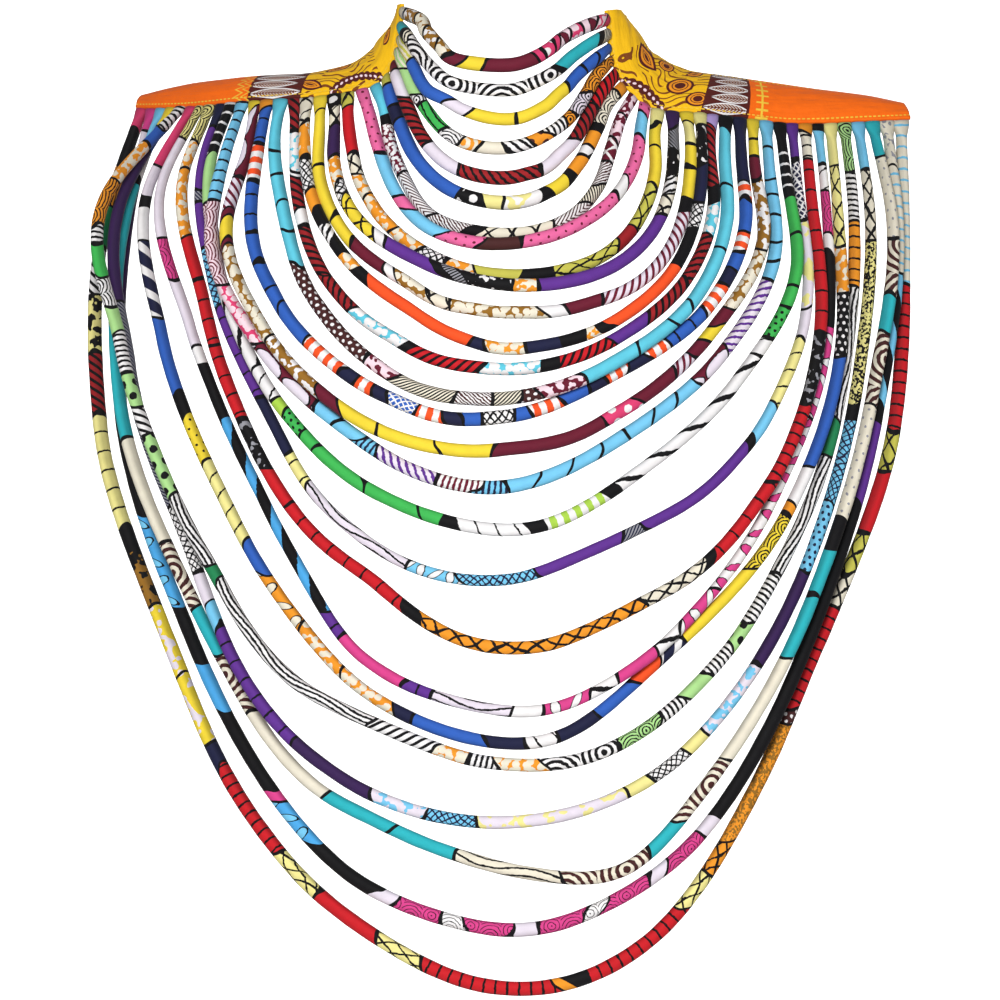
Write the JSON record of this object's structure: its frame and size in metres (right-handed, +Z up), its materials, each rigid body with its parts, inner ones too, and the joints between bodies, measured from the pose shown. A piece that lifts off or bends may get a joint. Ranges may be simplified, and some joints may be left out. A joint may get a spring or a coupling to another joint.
{
  "type": "multi-strand fabric necklace",
  "caption": "Bib necklace of draped cords in patterned cloth, sewn side by side into two padded shoulder bands and joined behind the neck by a flat strap, shown as worn.",
  "frame": {"origin": "centre of the neck opening at the height of the shoulder line, where the necklace rests on its wearer", "axes": "+Z up, the front faces -Y, +X to the right as seen from the front"},
  "size_m": [0.499, 0.2101, 0.5953],
  "materials": {
    "band_cloth": "printed cotton, matte",
    "strap_cloth": "printed cotton, matte",
    "clasp_metal": "satin",
    "print_01": "printed cotton, matte",
    "print_02": "printed cotton, matte",
    "print_03": "printed cotton, matte",
    "print_04": "printed cotton, matte",
    "print_05": "printed cotton, matte",
    "print_06": "printed cotton, matte",
    "print_07": "printed cotton, matte",
    "print_08": "printed cotton, matte",
    "print_09": "printed cotton, matte",
    "print_10": "printed cotton, matte",
    "print_11": "printed cotton, matte",
    "print_12": "printed cotton, matte",
    "print_13": "printed cotton, matte",
    "print_14": "printed cotton, matte",
    "print_15": "printed cotton, matte",
    "print_16": "printed cotton, matte",
    "print_17": "printed cotton, matte",
    "print_18": "printed cotton, matte",
    "print_19": "printed cotton, matte",
    "print_20": "printed cotton, matte",
    "print_21": "printed cotton, matte",
    "print_22": "printed cotton, matte",
    "print_23": "printed cotton, matte",
    "print_24": "printed cotton, matte",
    "print_25": "printed cotton, matte",
    "print_26": "printed cotton, matte",
    "print_27": "printed cotton, matte"
  },
  "bodies": {
    "root": {"left_shoulder_band": "band_cloth", "right_shoulder_band": "band_cloth", "left_neck_strap": "strap_cloth", "right_neck_strap": "strap_cloth", "back_clasp": "clasp_metal", "strand_01": "print_01", "strand_02": "print_02", "strand_03": "print_03", "strand_04": "print_04", "strand_05": "print_05", "strand_06": "print_06", "strand_07": "print_07", "strand_08": "print_08", "strand_09": "print_09", "strand_10": "print_10", "strand_11": "print_11", "strand_12": "print_12", "strand_13": "print_13", "strand_14": "print_14", "strand_15": "print_15", "strand_16": "print_16", "strand_17": "print_17", "strand_18": "print_18", "strand_19": "print_19", "strand_20": "print_20", "strand_21": "print_21", "strand_22": "print_22", "strand_23": "print_23", "strand_24": "print_24", "strand_25": "print_25", "strand_26": "print_26", "strand_27": "print_27"}
  },
  "joints": []
}
